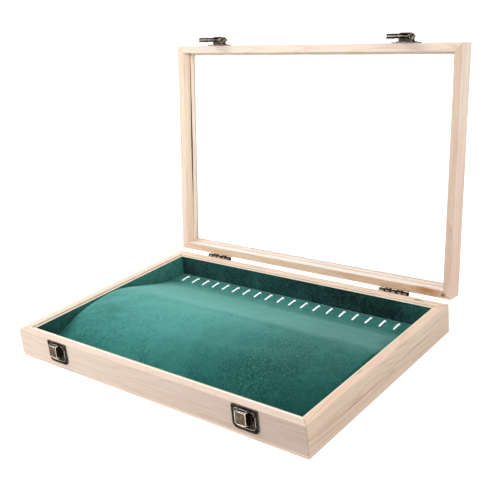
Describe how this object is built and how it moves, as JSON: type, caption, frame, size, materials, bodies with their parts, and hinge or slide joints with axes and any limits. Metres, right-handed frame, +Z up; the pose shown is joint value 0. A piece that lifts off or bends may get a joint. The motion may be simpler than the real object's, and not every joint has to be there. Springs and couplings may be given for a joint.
{
  "type": "glazed jewelry display box",
  "caption": "Flat wooden display box with a padded velvet tray, a row of necklace hooks, and a hinged glass lid with front clasps.",
  "frame": {"origin": "on the floor under the middle of the base", "axes": "+X along the long side, +Y towards the hinges, +Z up"},
  "size_m": [0.35, 0.3021, 0.2801],
  "materials": {
    "base_rails": "bare sanded pine",
    "lid_rails": "bare sanded pine",
    "glass_beads": "bare pine bead",
    "lining_boards": "raw fibreboard edge",
    "bottom_panel": "thin plywood",
    "pad_board": "fibreboard",
    "pad_foam": "soft batting",
    "velvet": "teal velvet",
    "hooks": "pale bent strip",
    "glass": "clear",
    "clasp_metal": "antique bronze",
    "hinge_metal": "antique bronze",
    "screws": "antique bronze"
  },
  "bodies": {
    "base": {"back_lining_board": "lining_boards", "back_lining_velvet": "velvet", "base_back_rail": "base_rails", "base_front_rail": "base_rails", "base_hinge_screws": "screws", "base_left_rail": "base_rails", "base_right_rail": "base_rails", "bottom_panel": "bottom_panel", "catch_screws": "screws", "front_lining_board": "lining_boards", "front_lining_velvet": "velvet", "left_catch": "clasp_metal", "left_hinge_base_leaf": "hinge_metal", "left_hinge_pin": "hinge_metal", "left_lining_board": "lining_boards", "left_lining_velvet": "velvet", "necklace_hooks": "hooks", "pad_board": "pad_board", "pad_cover": "velvet", "pad_foam": "pad_foam", "right_catch": "clasp_metal", "right_hinge_base_leaf": "hinge_metal", "right_hinge_pin": "hinge_metal", "right_lining_board": "lining_boards", "right_lining_velvet": "velvet"},
    "lid": {"back_glass_bead": "glass_beads", "front_glass_bead": "glass_beads", "glass_pane": "glass", "hasp_plate_screws": "screws", "left_glass_bead": "glass_beads", "left_hasp_pin": "clasp_metal", "left_hasp_plate": "clasp_metal", "left_hinge_lid_leaf": "hinge_metal", "lid_back_rail": "lid_rails", "lid_front_rail": "lid_rails", "lid_hinge_screws": "screws", "lid_left_rail": "lid_rails", "lid_right_rail": "lid_rails", "right_glass_bead": "glass_beads", "right_hasp_pin": "clasp_metal", "right_hasp_plate": "clasp_metal", "right_hinge_lid_leaf": "hinge_metal"},
    "left_hasp": {"left_hasp": "clasp_metal"},
    "right_hasp": {"right_hasp": "clasp_metal"}
  },
  "joints": [
    {"name": "lid_hinge", "type": "hinge", "parent": "base", "child": "lid", "pos_m": [0, 0.1226, 0.02925], "axis": [1, 0, 0], "range_deg": [0, 98]},
    {"name": "left_hasp_hinge", "type": "hinge", "parent": "lid", "child": "left_hasp", "pos_m": [-0.116, 0.1628, 0.27323], "axis": [-1, 0, 0], "range_deg": [0, 39]},
    {"name": "right_hasp_hinge", "type": "hinge", "parent": "lid", "child": "right_hasp", "pos_m": [0.116, 0.1628, 0.27323], "axis": [-1, 0, 0], "range_deg": [0, 39]}
  ]
}
